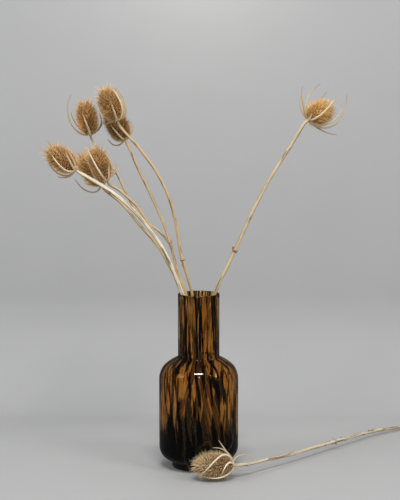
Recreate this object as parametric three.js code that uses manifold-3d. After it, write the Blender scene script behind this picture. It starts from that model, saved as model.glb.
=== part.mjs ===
// Dried teasels in a tortoiseshell-glass bottle vase.
// Millimetres, +Z up. The origin is the middle of the vase's underside, and the arrangement is
// looked at along +Y, so -Y is its front and +X its right.
// Six stems stand in the vase, one of them forked, and carry seven seed heads. An eighth teasel
// lies on the table in front of the vase.
import * as THREE from "three";
import { mergeVertices } from "three/addons/utils/BufferGeometryUtils.js";
import Module from "manifold-3d";

const wasm = await Module();
wasm.setup();

// ---- Driving dimensions ----
const VASE_HEIGHT = 300;
const NECK_RADIUS = 35.5;
const BODY_RADIUS = 68;
const FOOT_RADIUS = 46.5;
const FOOT_HEIGHT = 11.5;
const GLASS_WALL = 2.5;
const CORNER_RADIUS = 24; // where the side of the body turns under to the foot
const FLOOR_THICKNESS = 3; // of glass above the foot
const VASE_FACETS = 32;

const STEM_SIDES = 6;
const STEM_STEP = 22; // length of one straight facet of a stem
const STEM_SQUARE_END = 6; // length of stem that is in line with the head it carries
const JOINT_SWELLING = 1.45; // a stem's joint against the stem's radius
const HEAD_FACETS = 14;
const HEAD_RINGS = 9;
const HEAD_SKEW = 0.9; // below 1 puts a head's widest place nearer its stem
const HEAD_BLUNTNESS = 0.5; // smaller is blunter at both ends
const COLLAR_HEIGHT = 3; // of the ring at the foot of a head, which its bracts grow from
const COLLAR_RADIUS = 4.6;
const BRACT_WIDTH = 1.8;
const BRACT_THICKNESS = 1.4;
const BRACT_FACET = 7; // length of one straight facet of a bract
const GAP = 0.35; // between pieces that touch

const GLASS = { color: 0x4a2c12, roughness: 0.05, metalness: 0 };
const STRAW = { color: 0xc8a468, roughness: 0.75, metalness: 0 };
const CHAFF = { color: 0xa8794a, roughness: 0.9, metalness: 0 };
const DRY_BRACT = { color: 0xcdb27e, roughness: 0.8, metalness: 0 };

// ---- The teasels ----
// stem: the points its middle line runs through, from the cut end to the head.
// tip: where the end of the seed head is. radius: the half width of the seed head.
// bracts: [turn, length, start, end, swirl, ease] for each bract of the whorl under the head.
//   turn is its place round the head in degrees: 0 faces the front, 90 is to the right of the
//   head as it points and -90 to its left. It leaves the collar at `start` degrees from the
//   head's axis, and its tip points at `end`. swirl is how far it leans round the head. ease is
//   1 where it curls evenly, less where it curls near its root and more where near its tip.
const teasels = [
  {
    number: 1,
    stem: [
      [50, 6, 24], [14, -3, 152], [-27, -9, 298], [-41, -18, 337], [-60, -28, 379],
      [-87, -38, 421], [-119, -46, 456], [-156, -52, 485], [-204, -57, 515],
    ],
    stemRadius: 3.2,
    tip: [-246, -68, 548],
    radius: 17.5,
    bracts: [
      [1, 56, 76, 33, 30, 0.3], [34, 52, 74, 35, 2, 0.3], [-27, 69, 67, -83, 20, 1.7],
      [-102, 69, 140, -49, -13, 0.5], [-116, 37, 117, 23, 0, 0.8], [150, 44, 100, -5, 0, 0.8],
      [-160, 40, 100, 5, 0, 0.8],
    ],
  },
  {
    number: 2,
    stem: [
      [44, 17, 22], [8, 8, 160], [-30, 1, 301], [-50, 4, 346], [-68, 6, 378],
      [-102, 8, 418], [-132, 8, 454], [-166, 6, 486],
    ],
    stemRadius: 2.4,
    tip: [-199, 20, 536],
    radius: 17.5,
    bracts: [
      [-128, 72, 145, -2, 1, 0.5], [-118, 31, 72, 42, 5, 0.3], [-4, 61, 75, -45, 15, 1],
      [160, 44, 100, 0, 0, 0.8], [75, 38, 95, 0, 0, 0.8],
    ],
  },
  {
    number: 3,
    stem: [
      [34, 26, 21], [2, 15, 160], [-25, 6, 301], [-47, -3, 349], [-65, -10, 385],
      [-84, -14, 419], [-103, -16, 449], [-120, -18, 466], [-137, -19, 480], [-154, -20, 496],
    ],
    stemRadius: 2.2,
    tip: [-175, -30, 548],
    radius: 15,
    bracts: [
      [-11, 75, 89, -8, -14, 0.3], [79, 60, 74, -29, 0, 0.6], [33, 37, 74, 30, 2, 0.3],
      [95, 37, 73, -3, -1, 1.4], [105, 31, 74, 67, -1, 0.3], [155, 48, 100, -10, 0, 0.8],
    ],
  },
  {
    number: 4,
    stem: [
      [-51, 25, 384], [-68, 26, 404], [-82, 27, 414], [-108, 27, 441], [-126, 28, 473],
      [-140, 29, 502], [-158, 29, 527], [-185, 30, 571],
    ],
    stemRadius: 2,
    tip: [-195, 22, 625],
    radius: 15.5,
    bracts: [
      [2, 52, 75, 14, -10, 0.4], [-93, 91, 113, -38, 0, 0.5], [-127, 55, 76, 8, -1, 0.8],
      [92, 30, 74, 27, 0, 1.2], [108, 44, 86, -17, 1, 0.9], [62, 25, 75, 40, -1, 0.3],
      [165, 46, 95, -5, 0, 0.8],
    ],
  },
  {
    number: 5,
    stem: [
      [3, 44, 20], [-5, 31, 160], [-12, 20, 300], [-18, 19, 322], [-32, 18, 372],
      [-38, 17, 412], [-49, 16, 458], [-67, 16, 498], [-98, 15, 543], [-122, 14, 570], [-139, 14, 595],
    ],
    stemRadius: 2.6,
    joint: [-27, 18, 354],
    tip: [-159, 3, 647],
    radius: 17.5,
    bracts: [
      [5, 47, 75, 4, 3, 0.7], [109, 66, 70, -52, -1, 1.1], [67, 72, 77, -40, -17, 0.7],
      [103, 27, 87, -13, -2, 1.8], [-70, 22, 80, 88, 0, 1], [-90, 14, 71, 93, -2, 1.3],
      [-103, 51, 90, -23, -7, 0.6], [165, 50, 95, -10, 0, 0.8],
    ],
  },
  {
    number: 6,
    stem: [
      [24, 38, 20], [0, 26, 160], [-23, 13, 301], [-36, 17, 335], [-48, 24, 379],
      [-57, 28, 408], [-84, 38, 469], [-105, 44, 512], [-128, 52, 562],
    ],
    stemRadius: 2.4,
    tip: [-156, 64, 615],
    radius: 17.5,
    bracts: [
      [-95, 51, 73, -22, -9, 0.7], [-25, 39, 74, 11, 2, 0.6], [84, 38, 74, -59, 3, 2.2],
      [-121, 43, 121, 4, -2, 0.9], [-79, 25, 87, 1, 0, 1.1], [150, 44, 95, 0, 0, 0.8],
    ],
  },
  {
    number: 7,
    stem: [
      [-50, -16, 24], [-12, -13, 160], [28, -9, 303], [50, -8, 350], [62, -7, 375],
      [89, -3, 435], [119, 2, 493], [154, 6, 548], [187, 10, 595],
    ],
    stemRadius: 2.9,
    joint: [61, -7, 374],
    tip: [225, 31, 619],
    radius: 19,
    bracts: [
      [-86, 58, 124, 48, -1, 0.3], [-102, 44, 109, 40, 0, 0.7], [-121, 89, 74, 3, -2, 0.7],
      [180, 102, 73, 10, 23, 0.5], [19, 67, 91, -5, -35, 0.6], [88, 116, 82, -70, 18, 0.8],
      [73, 86, 99, -40, 4, 0.5], [98, 58, 74, 42, 0, 0.6], [-15, 28, 90, 102, -3, 0.8],
    ],
  },
  {
    number: 8,
    stem: [
      [402, 258, 3], [385, 242, 6], [333, 200, 10], [285, 147, 13], [244, 103, 14],
      [205, 60, 15], [154, 4, 16], [121, -28, 18], [86, -63, 20], [56, -84, 23],
    ],
    stemRadius: 2.5,
    joint: [244, 103, 14],
    tip: [-10, -99, 26],
    radius: 20.5,
    bracts: [
      [104, 79, 83, 2, -113, 0.5], [90, 48, 74, 50, 0, 0.3], [102, 43, 74, 223, 2, 0.6],
      [42, 56, 73, 50, -42, 0.3], [-42, 60, 74, -14, 2, 0.7], [116, 49, 80, -13, 0, 1.2],
    ],
  },
];
const FORKED = 6; // the stem that teasel 4's branch grows out of
const BRANCH = 4;

// ---- Solids ----
function solidOf(geometry) {
  const bare = geometry.index ? geometry.toNonIndexed() : geometry.clone();
  bare.deleteAttribute("normal");
  bare.deleteAttribute("uv");
  const merged = mergeVertices(bare, 1e-4);
  return new wasm.Manifold(
    new wasm.Mesh({
      numProp: 3,
      vertProperties: merged.attributes.position.array,
      triVerts: new Uint32Array(merged.index.array),
    }),
  );
}

function geometryOf(solid) {
  const { vertProperties, triVerts } = solid.getMesh();
  const geometry = new THREE.BufferGeometry();
  geometry.setAttribute("position", new THREE.BufferAttribute(vertProperties, 3));
  geometry.setIndex(new THREE.BufferAttribute(triVerts, 1));
  geometry.computeVertexNormals();
  return geometry;
}

function piece(name, geometry, finish) {
  const mesh = new THREE.Mesh(geometry, new THREE.MeshStandardMaterial(finish));
  mesh.name = name;
  return mesh;
}

// ---- The vase: one blown wall from the solid foot to the open mouth ----
function arc(cx, cy, radius, fromDeg, toDeg, steps) {
  return Array.from({ length: steps + 1 }, (_, i) => {
    const a = THREE.MathUtils.degToRad(fromDeg + ((toDeg - fromDeg) * i) / steps);
    return new THREE.Vector2(cx + radius * Math.cos(a), cy + radius * Math.sin(a));
  });
}

// The shoulder's half outline from the side of the body up to the neck, moved in by `inset`.
function shoulder(inset) {
  const outline = new THREE.SplineCurve([
    new THREE.Vector2(BODY_RADIUS, 150),
    new THREE.Vector2(67.4, 159),
    new THREE.Vector2(62.5, 171.5),
    new THREE.Vector2(54, 180.5),
    new THREE.Vector2(43.5, 187.2),
    new THREE.Vector2(NECK_RADIUS, 191),
  ]);
  return outline.getPoints(10).map((p, i, all) => {
    const before = all[Math.max(i - 1, 0)];
    const after = all[Math.min(i + 1, all.length - 1)];
    const along = after.clone().sub(before).normalize();
    return new THREE.Vector2(p.x - along.y * inset, p.y + along.x * inset);
  });
}

function vaseGeometry() {
  const bend = BODY_RADIUS - CORNER_RADIUS;
  const bendHeight = FOOT_HEIGHT + CORNER_RADIUS;
  const innerBend = CORNER_RADIUS - FLOOR_THICKNESS;
  const outside = [
    new THREE.Vector2(0, 0),
    new THREE.Vector2(FOOT_RADIUS - 1.5, 0),
    new THREE.Vector2(FOOT_RADIUS, 1.5),
    new THREE.Vector2(FOOT_RADIUS, FOOT_HEIGHT),
    ...arc(bend, bendHeight, CORNER_RADIUS, -80, 0, 6),
    ...shoulder(0),
  ];
  const lip = arc(NECK_RADIUS - GLASS_WALL / 2, VASE_HEIGHT - GLASS_WALL / 2, GLASS_WALL / 2, 0, 180, 4);
  const inside = [
    ...shoulder(GLASS_WALL).reverse(),
    ...arc(bend, bendHeight, innerBend, 0, -90, 6),
    new THREE.Vector2(0, bendHeight - innerBend),
  ];
  const shape = new THREE.LatheGeometry([...outside, ...lip, ...inside], VASE_FACETS);
  return shape.rotateX(Math.PI / 2);
}

// ---- Stems ----
const vectors = (points) => points.map((p) => new THREE.Vector3(...p));

function rodSection(radius, sides) {
  const corners = Array.from({ length: sides }, (_, i) => {
    const a = (i * 2 * Math.PI) / sides;
    return new THREE.Vector2(radius * Math.cos(a), radius * Math.sin(a));
  });
  return new THREE.Shape(corners);
}

function rodAlong(points, section, facet) {
  const path = new THREE.CatmullRomCurve3(points);
  const steps = Math.max(3, Math.round(path.getLength() / facet));
  return new THREE.ExtrudeGeometry(section, { steps, extrudePath: path });
}

const headAxis = ({ stem, tip }) =>
  new THREE.Vector3(...tip).sub(new THREE.Vector3(...stem.at(-1))).normalize();

// The stem's points, with the last one drawn back to the underside of the collar and one more
// behind it, so that the stem meets the collar squarely.
function stemPoints(teasel) {
  const points = vectors(teasel.stem);
  const axis = headAxis(teasel);
  const end = points.pop().addScaledVector(axis, -(COLLAR_HEIGHT + GAP));
  return [...points, end.clone().addScaledVector(axis, -STEM_SQUARE_END), end];
}

function stemSolid(teasel) {
  const rod = rodAlong(stemPoints(teasel), rodSection(teasel.stemRadius, STEM_SIDES), STEM_STEP);
  const solid = solidOf(rod);
  if (!teasel.joint) return solid;
  const knob = new THREE.SphereGeometry(teasel.stemRadius * JOINT_SWELLING, 8, 6);
  return solid.add(solidOf(knob.translate(...teasel.joint)));
}

// ---- Seed heads ----
// An egg on the +Z axis with its narrower end at the tip.
function headGeometry(length, radius) {
  const outline = [new THREE.Vector2(0, 0)];
  for (let i = 1; i <= HEAD_RINGS; i += 1) {
    const along = i / HEAD_RINGS;
    const width = Math.sin(Math.PI * along ** HEAD_SKEW) ** HEAD_BLUNTNESS;
    outline.push(new THREE.Vector2(i === HEAD_RINGS ? 0 : radius * width, length * along));
  }
  return new THREE.LatheGeometry(outline, HEAD_FACETS).rotateX(Math.PI / 2);
}

// ---- Bracts ----
// A bract's middle line on a head that points along +Z and faces -Y.
function bractPoints([turn, length, start, end, swirl, ease]) {
  const count = Math.max(4, Math.round(length / BRACT_FACET));
  const stride = length / count;
  let out = COLLAR_RADIUS - 2;
  let along = -COLLAR_HEIGHT / 2;
  const points = [];
  for (let i = 0; i <= count; i += 1) {
    const round = THREE.MathUtils.degToRad(turn + (swirl * i) / count);
    points.push(new THREE.Vector3(out * Math.sin(round), -out * Math.cos(round), along));
    const lean = THREE.MathUtils.degToRad(start + (end - start) * ((i + 0.5) / count) ** ease);
    out += stride * Math.sin(lean);
    along += stride * Math.cos(lean);
  }
  return points;
}

function bractSection() {
  const w = BRACT_WIDTH / 2;
  const t = BRACT_THICKNESS / 2;
  return new THREE.Shape([
    new THREE.Vector2(w, 0),
    new THREE.Vector2(0, t),
    new THREE.Vector2(-w, 0),
    new THREE.Vector2(0, -t),
  ]);
}

function whorlGeometry({ bracts }) {
  const collar = new THREE.CylinderGeometry(COLLAR_RADIUS, COLLAR_RADIUS * 0.7, COLLAR_HEIGHT, 10);
  collar.rotateX(Math.PI / 2).translate(0, 0, -COLLAR_HEIGHT / 2);
  const whorl = bracts.reduce(
    (solid, bract) => solid.add(solidOf(rodAlong(bractPoints(bract), bractSection(), BRACT_FACET))),
    solidOf(collar),
  );
  return geometryOf(whorl);
}

// ---- Assembly ----
// A group at the foot of the head, with +Z along the head and -Y towards the front.
function headGroup(teasel) {
  const up = headAxis(teasel);
  const back = new THREE.Vector3(0, 1, 0).addScaledVector(up, -up.y).normalize();
  const right = new THREE.Vector3().crossVectors(back, up);
  const group = new THREE.Group();
  group.position.set(...teasel.stem.at(-1));
  group.quaternion.setFromRotationMatrix(new THREE.Matrix4().makeBasis(right, back, up));
  return group;
}

const arrangement = new THREE.Group();
arrangement.add(piece("vase", vaseGeometry(), GLASS));

const branchSolid = stemSolid(teasels.find((t) => t.number === BRANCH));
for (const teasel of teasels) {
  const { number, stem, tip, radius } = teasel;
  if (number !== BRANCH) {
    const forked = number === FORKED;
    const solid = forked ? stemSolid(teasel).add(branchSolid) : stemSolid(teasel);
    arrangement.add(piece(forked ? "forked_stem" : `stem_${number}`, geometryOf(solid), STRAW));
  }
  const length = new THREE.Vector3(...tip).distanceTo(new THREE.Vector3(...stem.at(-1)));
  const head = piece(`seed_head_${number}`, headGeometry(length - GAP, radius), CHAFF);
  head.position.z = GAP;
  const group = headGroup(teasel);
  group.add(head, piece(`bracts_${number}`, whorlGeometry(teasel), DRY_BRACT));
  arrangement.add(group);
}

export default arrangement;
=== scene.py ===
"""Dried teasels in a tortoiseshell-glass bottle vase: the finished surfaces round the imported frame.

Metres, +Z up. The vase stands on the origin, and the arrangement is looked at along +Y, so -Y is
its front and +X its right. Each teasel is a stem, a whorl of bracts and a seed head; seven stand
in the vase, two of them on one forked stem, and the eighth lies on the table.
"""

import logging
import math
from dataclasses import dataclass, field
from enum import Enum
from typing import Callable, Sequence

import bpy
import numpy as np
from mathutils import Matrix, Vector


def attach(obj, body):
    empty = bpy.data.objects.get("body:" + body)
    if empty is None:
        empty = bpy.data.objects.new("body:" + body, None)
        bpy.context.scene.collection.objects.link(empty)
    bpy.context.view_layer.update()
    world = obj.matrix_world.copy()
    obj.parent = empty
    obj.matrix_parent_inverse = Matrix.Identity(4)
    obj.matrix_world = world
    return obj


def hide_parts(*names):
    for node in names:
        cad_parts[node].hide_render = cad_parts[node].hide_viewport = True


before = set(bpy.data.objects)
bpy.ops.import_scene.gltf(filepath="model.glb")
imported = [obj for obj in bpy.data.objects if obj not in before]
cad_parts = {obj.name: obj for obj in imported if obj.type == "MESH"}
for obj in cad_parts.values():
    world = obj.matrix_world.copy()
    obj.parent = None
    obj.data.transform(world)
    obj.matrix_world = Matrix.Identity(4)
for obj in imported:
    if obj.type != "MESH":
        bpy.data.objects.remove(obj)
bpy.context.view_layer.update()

log = logging.getLogger("teasels")

MM = 0.001
TABLE_GAP = 0.3 * MM
GOLDEN_TURN = math.pi * (3 - math.sqrt(5))
Colour = tuple[float, float, float]
Point = tuple[float, float, float]
Socket = bpy.types.NodeSocket
Material = bpy.types.Material
Piece = bpy.types.Object
Rows = np.ndarray
Rings = Sequence[tuple[float, float]]
Curve = Sequence[tuple[float, float]]


# ---- wiring a material ----


class Wiring:
    """One material's node tree, wired a node at a time."""

    def __init__(self, name: str) -> None:
        """Start a material.

        Args:
            name: what the material is called.
        """
        self.material = bpy.data.materials.new(name)
        self.material.use_nodes = True
        self.tree = self.material.node_tree
        self.shader = self.tree.nodes["Principled BSDF"]

    def put(self, value: object, socket: Socket) -> None:
        """Link a socket, or set a plain value.

        Args:
            value: a socket to link from, a number, or a colour or vector.
            socket: where it goes.
        """
        if isinstance(value, bpy.types.NodeSocket):
            self.tree.links.new(value, socket)
        elif isinstance(value, (int, float)):
            socket.default_value = value
        else:
            size = len(socket.default_value)
            socket.default_value = (*value, 1.0)[:size]

    def node(self, kind: str, inputs: dict[int | str, object], **settings: object) -> bpy.types.Node:
        """Add a node.

        Args:
            kind: the node's type without the ShaderNode in front.
            inputs: what goes into its inputs, by name or place.
            settings: the node's own settings.

        Returns:
            The node.
        """
        made = self.tree.nodes.new(f"ShaderNode{kind}")
        for key, value in settings.items():
            setattr(made, key, value)
        for key, value in inputs.items():
            self.put(value, made.inputs[key])
        return made

    def math(self, operation: str, *values: object) -> Socket:
        """Add a maths step and give its result."""
        return self.node("Math", dict(enumerate(values)), operation=operation).outputs[0]

    def times(self, first: object, second: object) -> Socket:
        """Give two numbers multiplied."""
        return self.math("MULTIPLY", first, second)

    def plus(self, first: object, second: object) -> Socket:
        """Give two numbers added."""
        return self.math("ADD", first, second)

    def grey(self, value: object) -> Socket:
        """Give the grey, or the even vector, of a number."""
        return self.joined(value, value, value)

    def attribute(self, name: str) -> Socket:
        """Give the vector that the mesh keeps under a name."""
        return self.node("Attribute", {}, attribute_name=name).outputs["Vector"]

    def split(self, vector: Socket) -> tuple[Socket, Socket, Socket]:
        """Give the three parts of a vector."""
        parts = self.node("SeparateXYZ", {0: vector}).outputs
        return parts[0], parts[1], parts[2]

    def joined(self, x: object, y: object, z: object) -> Socket:
        """Give a vector made of three parts."""
        return self.node("CombineXYZ", {0: x, 1: y, 2: z}).outputs[0]

    def place(self) -> Socket:
        """Give the place on the piece, in metres."""
        return self.node("TexCoord", {}).outputs["Object"]

    def noise(self, vector: Socket, scale: float, detail: float = 3.0, distortion: float = 0.0) -> Socket:
        """Give cloudy noise about one half, finer with scale, layered with detail, and stirred."""
        inputs = {"Vector": vector, "Scale": scale, "Detail": detail, "Distortion": distortion}
        return self.node("TexNoise", inputs).outputs["Fac"]

    def stretched(self, vector: Socket, scale: tuple[float, float, float]) -> Socket:
        """Give a vector scaled along its three directions."""
        return self.node("Mapping", {"Vector": vector, "Scale": scale}).outputs[0]

    def ramp(self, value: Socket, stops: Sequence[tuple[float, Colour]]) -> Socket:
        """Give a colour that follows a number.

        Args:
            value: the number.
            stops: places from 0 to 1, each with its colour.

        Returns:
            The colour.
        """
        made = self.node("ValToRGB", {0: value})
        band = made.color_ramp
        band.elements[0].position, band.elements[1].position = stops[0][0], stops[-1][0]
        for place, _ in stops[1:-1]:
            band.elements.new(place)
        for element, (_, colour) in zip(band.elements, stops):
            element.color = (*colour, 1.0)
        return made.outputs[0]

    def between(self, value: Socket, low: float, high: float, to: tuple[float, float]) -> Socket:
        """Give a number moved smoothly from low .. high to another range, and held at its ends."""
        inputs = {0: value, 1: low, 2: high, 3: to[0], 4: to[1]}
        return self.node("MapRange", inputs, interpolation_type="SMOOTHSTEP").outputs[0]

    def mixed(self, share: object, first: object, second: object, blend: str = "MIX") -> Socket:
        """Give a share of the second colour mixed into the first."""
        made = self.node("Mix", {0: share, 6: first, 7: second}, data_type="RGBA", blend_type=blend)
        return made.outputs[2]

    def bump(self, height: Socket, distance: float, strength: float) -> None:
        """Raise the surface by a height, in steps of the distance in metres."""
        made = self.node("Bump", {"Height": height, "Distance": distance, "Strength": strength})
        self.put(made.outputs[0], self.shader.inputs["Normal"])

    def finish(self, colour: object, roughness: object, **others: object) -> Material:
        """Set the shader and give the material.

        Args:
            colour: the base colour.
            roughness: how rough it is.
            others: more inputs of the shader, with _ for a space.

        Returns:
            The material.
        """
        self.put(colour, self.shader.inputs["Base Color"])
        self.put(roughness, self.shader.inputs["Roughness"])
        for key, value in others.items():
            self.put(value, self.shader.inputs[key.replace("_", " ")])
        return self.material


# ---- finishes ----


@dataclass(frozen=True)
class TortoiseshellGlass:
    """Amber glass with long near-black strokes that were drawn out as it was blown."""

    amber: Colour = (0.73, 0.42, 0.115)
    honey: Colour = (0.78, 0.53, 0.24)
    stroke: Colour = (0.010, 0.006, 0.004)
    brown: Colour = (0.62, 0.335, 0.085)
    # painted shade: the darker, browner glass towards the foot
    painted_shade_glass: Colour = (0.42, 0.26, 0.10)
    body_radius: float = 0.068
    stroke_pitch: float = 118.0
    fine_strokes: float = 0.34
    stroke_edge: tuple[float, float] = (0.505, 0.545)
    drawn_out: float = 0.085
    twist: float = 1.3
    # painted shade: towards the foot, below these heights, the glass gets more dark strokes and darker,
    # browner glass
    painted_shade_heights: tuple[float, float] = (0.030, 0.100)
    painted_shade_strokes: float = 0.085
    painted_shade_glass_heights: tuple[float, float] = (0.035, 0.095)

    def blown(self, w: Wiring) -> Socket:
        """Give a place on the glass as it was before blowing: round the wall, and along it.

        The strokes keep to one angle from the foot to the mouth, so they narrow in the neck.

        Args:
            w: the wiring.

        Returns:
            The place, with its third part along the wall.
        """
        x, y, z = w.split(w.place())
        square = w.plus(w.times(x, x), w.times(y, y))
        radius = w.math("MAXIMUM", w.math("SQRT", square), MM)
        out = w.joined(w.math("DIVIDE", x, radius), w.math("DIVIDE", y, radius), 0.0)
        twisting = {"Vector": out, "Angle": w.times(z, self.twist)}
        across, deep, _ = w.split(w.node("VectorRotate", twisting, rotation_type="Z_AXIS").outputs[0])
        along = w.times(w.math("SUBTRACT", z, radius), self.drawn_out)
        return w.joined(w.times(across, self.body_radius), w.times(deep, self.body_radius), along)

    def material(self) -> Material:
        """Wire the glass, with painted shade at its foot: more dark strokes and darker, browner glass
        towards the bottom.

        Returns:
            The material.
        """
        w = Wiring("tortoiseshell glass")
        blown = self.blown(w)
        broad = w.noise(blown, self.stroke_pitch, 1.2, 0.35)
        fine = w.noise(blown, self.stroke_pitch * 3.1, 2.0, 0.2)
        _, _, z = w.split(w.place())
        # painted shade: more dark strokes towards the foot
        painted_shade_strokes = w.between(z, *self.painted_shade_heights, (self.painted_shade_strokes, 0.0))
        height = w.plus(w.times(broad, 1 - self.fine_strokes), w.times(fine, self.fine_strokes))
        strokes = w.between(w.plus(height, painted_shade_strokes), *self.stroke_edge, (0.0, 1.0))
        cloud = w.between(w.noise(blown, self.stroke_pitch * 0.8, 1.0), 0.4, 0.62, (0.0, 1.0))
        warm = w.mixed(cloud, self.amber, self.honey)
        clear = w.mixed(w.between(fine, 0.42, 0.60, (0.0, 0.75)), warm, self.brown)
        # painted shade: darker, browner glass towards the foot
        glass = w.mixed(w.between(z, *self.painted_shade_glass_heights, (1.0, 0.0)), clear, self.painted_shade_glass)
        colour = w.mixed(strokes, glass, self.stroke)
        ripple = w.noise(w.stretched(w.place(), (1.0, 1.0, 0.5)), 24.0, 1.0)
        w.bump(ripple, 0.0012, 0.35)
        rough = w.between(w.noise(w.place(), 60.0, 2.0), 0.35, 0.7, (0.012, 0.045))
        return w.finish(colour, rough, Transmission_Weight=1.0, IOR=1.5, Specular_IOR_Level=0.4)


@dataclass(frozen=True)
class Straw:
    """The dry, ribbed skin of a stem: pale ribs, darker grooves, stains and fibres, with painted top light
    that pales the side facing up and darkens the underside.
    """

    name: str
    pale: Colour
    deep: Colour
    stain: Colour = (0.16, 0.075, 0.025)
    rib_contrast: float = 0.42
    fibre_contrast: float = 0.45
    stripe_contrast: float = 0.9
    # painted top light: how much paler the side facing up gets, and darker the underside
    painted_top_light_strength: float = 0.36
    paling: tuple[float, float] = (0.73, 1.00)

    def material(self) -> Material:
        """Wire the stem's skin: pale on its ribs, with painted light where it faces up and painted shade
        underneath.

        Returns:
            The material.
        """
        w = Wiring(self.name)
        grain = w.attribute("grain")
        # the second part of the ridge vector is painted top light: paler where the stem faces up, darker
        # underneath
        ridge, painted_top_light, _ = w.split(w.attribute("ridge"))
        fibres = w.noise(w.stretched(grain, (1.6, 1.6, 5.0)), 2.4, 5.0, 0.3)
        stripes = w.noise(w.stretched(grain, (1.0, 1.0, 2.0)), 1.5, 2.0, 0.3)
        blotches = w.noise(w.stretched(grain, (0.6, 0.6, 3.0)), 1.3, 3.0, 0.6)
        height = w.plus(w.times(ridge, self.rib_contrast), w.times(fibres, self.fibre_contrast))
        # real stripes plus painted top light and painted shade
        stripes_and_painted_light = w.plus(w.times(stripes, self.stripe_contrast), w.times(painted_top_light, self.painted_top_light_strength))
        skin = w.mixed(w.between(w.plus(height, stripes_and_painted_light), *self.paling, (0.0, 1.0)), self.deep, self.pale)
        stained = w.mixed(w.between(blotches, 0.50, 0.62, (0.0, 0.75)), skin, self.stain)
        w.bump(fibres, 0.0004, 0.6)
        rough = w.between(fibres, 0.3, 0.7, (0.78, 0.52))
        return w.finish(stained, rough, Sheen_Weight=0.15, Specular_IOR_Level=0.35)


@dataclass(frozen=True)
class Chaff:
    """The scales of a seed head: painted shade in the pits between them, golden, pale at their points, and
    painted light towards the head's tip.
    """

    name: str
    painted_pit_shade_and_age: Colour
    body: Colour
    point: Colour
    bands: tuple[float, ...] = (0.0, 0.16, 0.40, 0.54, 0.86)
    tones: tuple[float, float] = (0.66, 1.34)

    def material(self) -> Material:
        """Wire the scales, each with its own tone.

        Returns:
            The material.
        """
        w = Wiring(self.name)
        tint, along, height = w.split(w.attribute("grain"))
        # painted shade: each scale is dark at its base, in the pits between the scales
        colours = (self.painted_pit_shade_and_age, self.painted_pit_shade_and_age, self.body, self.body, self.point)
        scale = w.ramp(along, list(zip(self.bands, colours)))
        shade = w.between(tint, 0.0, 1.0, self.tones)
        varied = w.mixed(1.0, scale, w.grey(shade), "MULTIPLY")
        patch = w.noise(w.place(), 70.0, 2.0, 0.4)
        # real aged patches, darkened with the same brown as the painted pit shade
        aged = w.mixed(w.between(patch, 0.5, 0.72, (0.0, 0.4)), varied, self.painted_pit_shade_and_age)
        # painted light: the head grows paler towards its tip
        painted_sunlight = w.mixed(w.between(height, 0.35, 1.0, (0.0, 0.16)), aged, self.point)
        fibres = w.noise(w.place(), 900.0, 2.0)
        w.bump(fibres, 0.0003, 0.5)
        rough = w.between(fibres, 0.3, 0.7, (0.7, 0.9))
        return w.finish(painted_sunlight, rough, Sheen_Weight=0.25, Specular_IOR_Level=0.25)


@dataclass(frozen=True)
class DryBract:
    """A bract's thin dry blade: straw with a darker midrib and a browned tip, in painted light where it
    turns to the front and painted shade elsewhere.
    """

    name: str
    pale: Colour
    deep: Colour
    tip: Colour
    painted_shade_tone: Colour = (0.36, 0.27, 0.17)
    painted_sunlight: Colour = (1.12, 1.12, 1.12)

    def material(self) -> Material:
        """Wire the blade.

        Returns:
            The material.
        """
        w = Wiring(self.name)
        side, tint, along = w.split(w.attribute("grain"))
        spread = w.math("ABSOLUTE", side)
        blade = w.mixed(w.between(spread, 0.0, 0.5, (0.2, 1.0)), self.deep, self.pale)
        # painted light and shade: lit blades are brightened, the others darkened to the painted shade tone
        shade = w.mixed(tint, self.painted_shade_tone, self.painted_sunlight)
        varied = w.mixed(1.0, blade, shade, "MULTIPLY")
        streaks = w.noise(w.joined(side, tint, w.times(along, 9.0)), 2.5, 4.0)
        streaked = w.mixed(w.between(streaks, 0.46, 0.74, (0.0, 0.6)), varied, self.deep)
        browned = w.mixed(w.between(along, 0.72, 1.0, (0.0, 0.75)), streaked, self.tip)
        w.bump(streaks, 0.0004, 0.5)
        rough = w.between(streaks, 0.3, 0.7, (0.55, 0.8))
        return w.finish(browned, rough, Sheen_Weight=0.1, Specular_IOR_Level=0.35)


@dataclass(frozen=True)
class Pith:
    """The spongy, pale inside of a cut stem."""

    pale: Colour = (0.62, 0.50, 0.33)
    deep: Colour = (0.30, 0.18, 0.08)

    def material(self) -> Material:
        """Wire the pith.

        Returns:
            The material.
        """
        w = Wiring("stem pith")
        cells = w.noise(w.place(), 1400.0, 2.0)
        w.bump(cells, 0.0003, 0.8)
        return w.finish(w.mixed(cells, self.deep, self.pale), 0.9)


@dataclass(frozen=True)
class PaleBoard:
    """The matt, pale studio floor and cove."""

    colour: Colour = (0.44, 0.44, 0.44)

    def material(self) -> Material:
        """Wire the board, which is clear from behind.

        Returns:
            The material.
        """
        w = Wiring("pale board")
        mottle = w.between(w.noise(w.place(), 9.0, 3.0), 0.3, 0.7, (0.985, 1.0))
        colour = w.mixed(1.0, self.colour, w.grey(mottle), "MULTIPLY")
        board = w.finish(colour, 0.9, Specular_IOR_Level=0.1)
        clear = w.node("BsdfTransparent", {}).outputs[0]
        behind = w.node("NewGeometry", {}).outputs["Backfacing"]
        one_sided = w.node("MixShader", {0: behind, 1: w.shader.outputs[0], 2: clear}).outputs[0]
        w.put(one_sided, w.tree.nodes["Material Output"].inputs["Surface"])
        return board


class StemLook(Enum):
    """How a stem has dried."""

    PALE = Straw("straw, sun-bleached", (0.86, 0.77, 0.58), (0.36, 0.23, 0.11))
    GOLDEN = Straw("straw, golden", (0.62, 0.45, 0.24), (0.17, 0.09, 0.035))
    AGED = Straw("straw, aged", (0.62, 0.49, 0.29), (0.25, 0.16, 0.07))
    GREY = Straw("straw, grey", (0.74, 0.63, 0.44), (0.26, 0.18, 0.09))


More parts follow.
